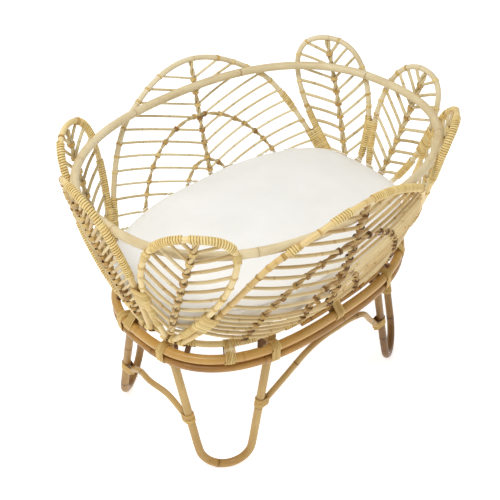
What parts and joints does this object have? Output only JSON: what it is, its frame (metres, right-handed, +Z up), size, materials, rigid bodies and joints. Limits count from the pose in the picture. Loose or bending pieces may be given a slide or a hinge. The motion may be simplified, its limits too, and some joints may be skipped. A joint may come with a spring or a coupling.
{
  "type": "baby cradle",
  "caption": "Oval rattan cradle: a flared basket of leaf-shaped panels round a bent rail, on hairpin cane legs, with a loose oval mattress in a fitted sheet.",
  "frame": {"origin": "on the floor under the middle of the cradle", "axes": "+X along the length of the basket, +Y across it away from the front panel, +Z up"},
  "size_m": [0.8469, 0.6625, 0.6809],
  "materials": {
    "rattan_pale": "satin pale straw rattan cane",
    "rattan_slat": "dull beige-grey thin cane with brown knots",
    "rattan_honey": "satin honey-brown rattan cane",
    "rattan_tan": "satin tan rattan cane, browner in places",
    "binding": "pale yellow split-cane binding",
    "sheet": "matte off-white cotton",
    "foam": "matte foam"
  },
  "bodies": {
    "frame": {"base_ring_lower": "rattan_honey", "base_ring_upper": "rattan_honey", "basket_ring": "rattan_pale", "hairpin_leg_left_back": "rattan_tan", "hairpin_leg_left_front": "rattan_tan", "hairpin_leg_right_back": "rattan_tan", "hairpin_leg_right_front": "rattan_tan", "long_brace_back": "rattan_tan", "long_brace_front": "rattan_tan", "panel_frame_back": "rattan_pale", "panel_frame_front": "rattan_pale", "panel_frame_left": "rattan_pale", "panel_frame_left_back": "rattan_pale", "panel_frame_left_front": "rattan_pale", "panel_frame_right": "rattan_pale", "panel_frame_right_back": "rattan_pale", "panel_frame_right_front": "rattan_pale", "panel_lattice_back": "rattan_slat", "panel_lattice_front": "rattan_slat", "panel_lattice_left": "rattan_slat", "panel_lattice_left_back": "rattan_slat", "panel_lattice_left_front": "rattan_slat", "panel_lattice_right": "rattan_slat", "panel_lattice_right_back": "rattan_slat", "panel_lattice_right_front": "rattan_slat", "panel_tie_back_left_back": "binding", "panel_tie_front_right_front": "binding", "panel_tie_left_front_front": "binding", "panel_tie_left_left_front": "binding", "panel_tie_right_back_back": "binding", "panel_tie_right_front_right": "binding", "panel_tie_right_right_back": "binding", "ring_spacer_1": "rattan_honey", "ring_spacer_2": "rattan_honey", "ring_spacer_3": "rattan_honey", "ring_spacer_4": "rattan_honey", "ring_spacer_5": "rattan_honey", "ring_spacer_6": "rattan_honey", "ring_spacer_7": "rattan_honey", "ring_spacer_8": "rattan_honey", "ring_tie_1": "binding", "ring_tie_2": "binding", "ring_tie_3": "binding", "ring_tie_4": "binding", "ring_tie_5": "binding", "ring_tie_6": "binding", "ring_tie_7": "binding", "ring_tie_8": "binding", "short_brace_left": "rattan_tan", "short_brace_right": "rattan_tan", "support_cane_1": "rattan_pale", "support_cane_2": "rattan_pale", "support_cane_3": "rattan_pale", "support_cane_4": "rattan_pale", "support_cane_5": "rattan_pale", "support_cane_6": "rattan_pale", "top_rail": "rattan_pale"},
    "mattress": {"mattress_core": "foam", "fitted_sheet": "sheet"}
  },
  "joints": [
    {"name": "mattress_lift", "type": "slide", "parent": "frame", "child": "mattress", "axis": [0, 0, 1], "range_m": [0, 0.4]}
  ]
}
